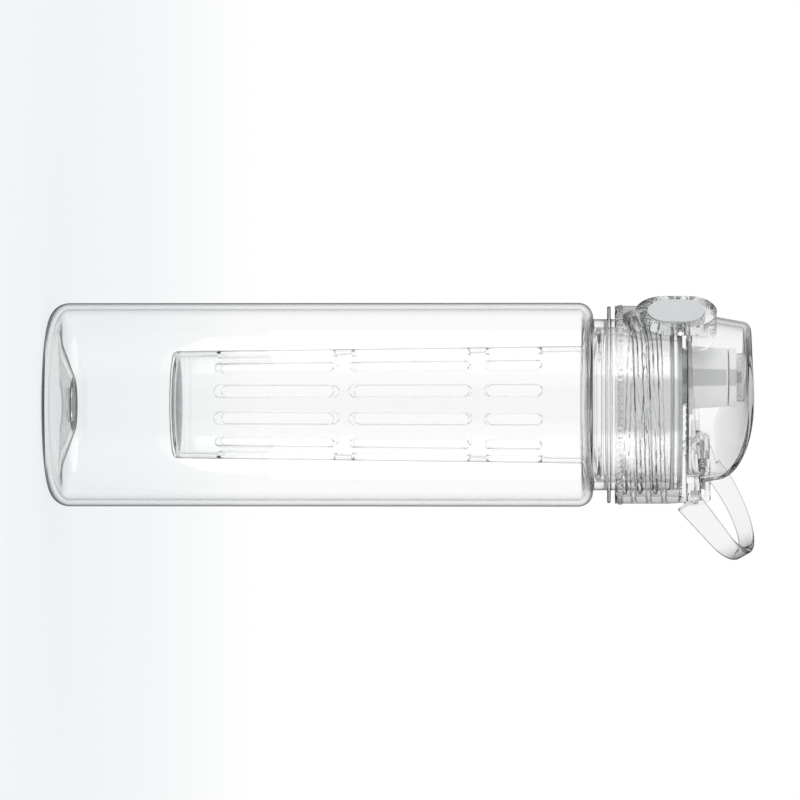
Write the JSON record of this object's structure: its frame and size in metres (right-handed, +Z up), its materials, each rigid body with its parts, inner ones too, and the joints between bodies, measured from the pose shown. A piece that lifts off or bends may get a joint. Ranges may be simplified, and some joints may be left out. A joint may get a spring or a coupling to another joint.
{
  "type": "fruit infuser water bottle",
  "caption": "Clear screw-top drinking bottle with a hanging slotted infuser basket, flip cover over a spout, push latch and carry loop.",
  "frame": {"origin": "middle of the foot ring, on the surface that the bottle stands on", "axes": "+Z up along the bottle's axis, -Y towards the push button, +Y towards the hinge and the carry loop"},
  "size_m": [0.073, 0.1021, 0.2541],
  "materials": {
    "clear_plastic": "clear, polished",
    "clear_cap_plastic": "clear, polished",
    "frosted_plastic": "pale grey, satin",
    "silicone": "translucent, matt",
    "spring_steel": "bright drawn"
  },
  "bodies": {
    "bottle": {"bottle_body": "clear_plastic"},
    "infuser": {"infuser_basket": "clear_plastic", "infuser_gasket": "silicone"},
    "cap_seal": {"cap_gasket": "silicone"},
    "cap": {"cap_collar": "clear_cap_plastic", "drinking_spout": "frosted_plastic", "hinge_pin": "spring_steel", "hinge_spring": "spring_steel", "latch_pin": "spring_steel", "latch_spring": "spring_steel", "carry_loop": "clear_cap_plastic"},
    "cover": {"flip_cover": "clear_cap_plastic", "spout_seal": "silicone"},
    "latch": {"latch_button": "frosted_plastic"}
  },
  "joints": [
    {"name": "infuser_lift", "type": "slide", "parent": "bottle", "child": "infuser", "axis": [0, 0, 1], "range_m": [0, 0.18]},
    {"name": "cap_rise", "type": "slide", "parent": "infuser", "child": "cap_seal", "axis": [0, 0, 1], "range_m": [0, 0.0136]},
    {"name": "cap_turn", "type": "hinge", "parent": "cap_seal", "child": "cap", "pos_m": [0, 0, 0.2265], "axis": [0, 0, 1], "range_deg": [0, 900]},
    {"name": "cover_hinge", "type": "hinge", "parent": "cap", "child": "cover", "pos_m": [0, 0.027, 0.234], "axis": [-1, 0, 0], "range_deg": [0, 100], "deforming": ["hinge_spring"]},
    {"name": "latch_rock", "type": "hinge", "parent": "cap", "child": "latch", "pos_m": [0, -0.0365, 0.2258], "axis": [1, 0, 0], "range_deg": [0, 5], "stiffness_Nm_per_rad": 0.5, "deforming": ["latch_spring"]}
  ],
  "couplings": [
    {"joint": "cap_rise", "follows": "cap_turn", "m_per_rad": 0.00085944}
  ]
}
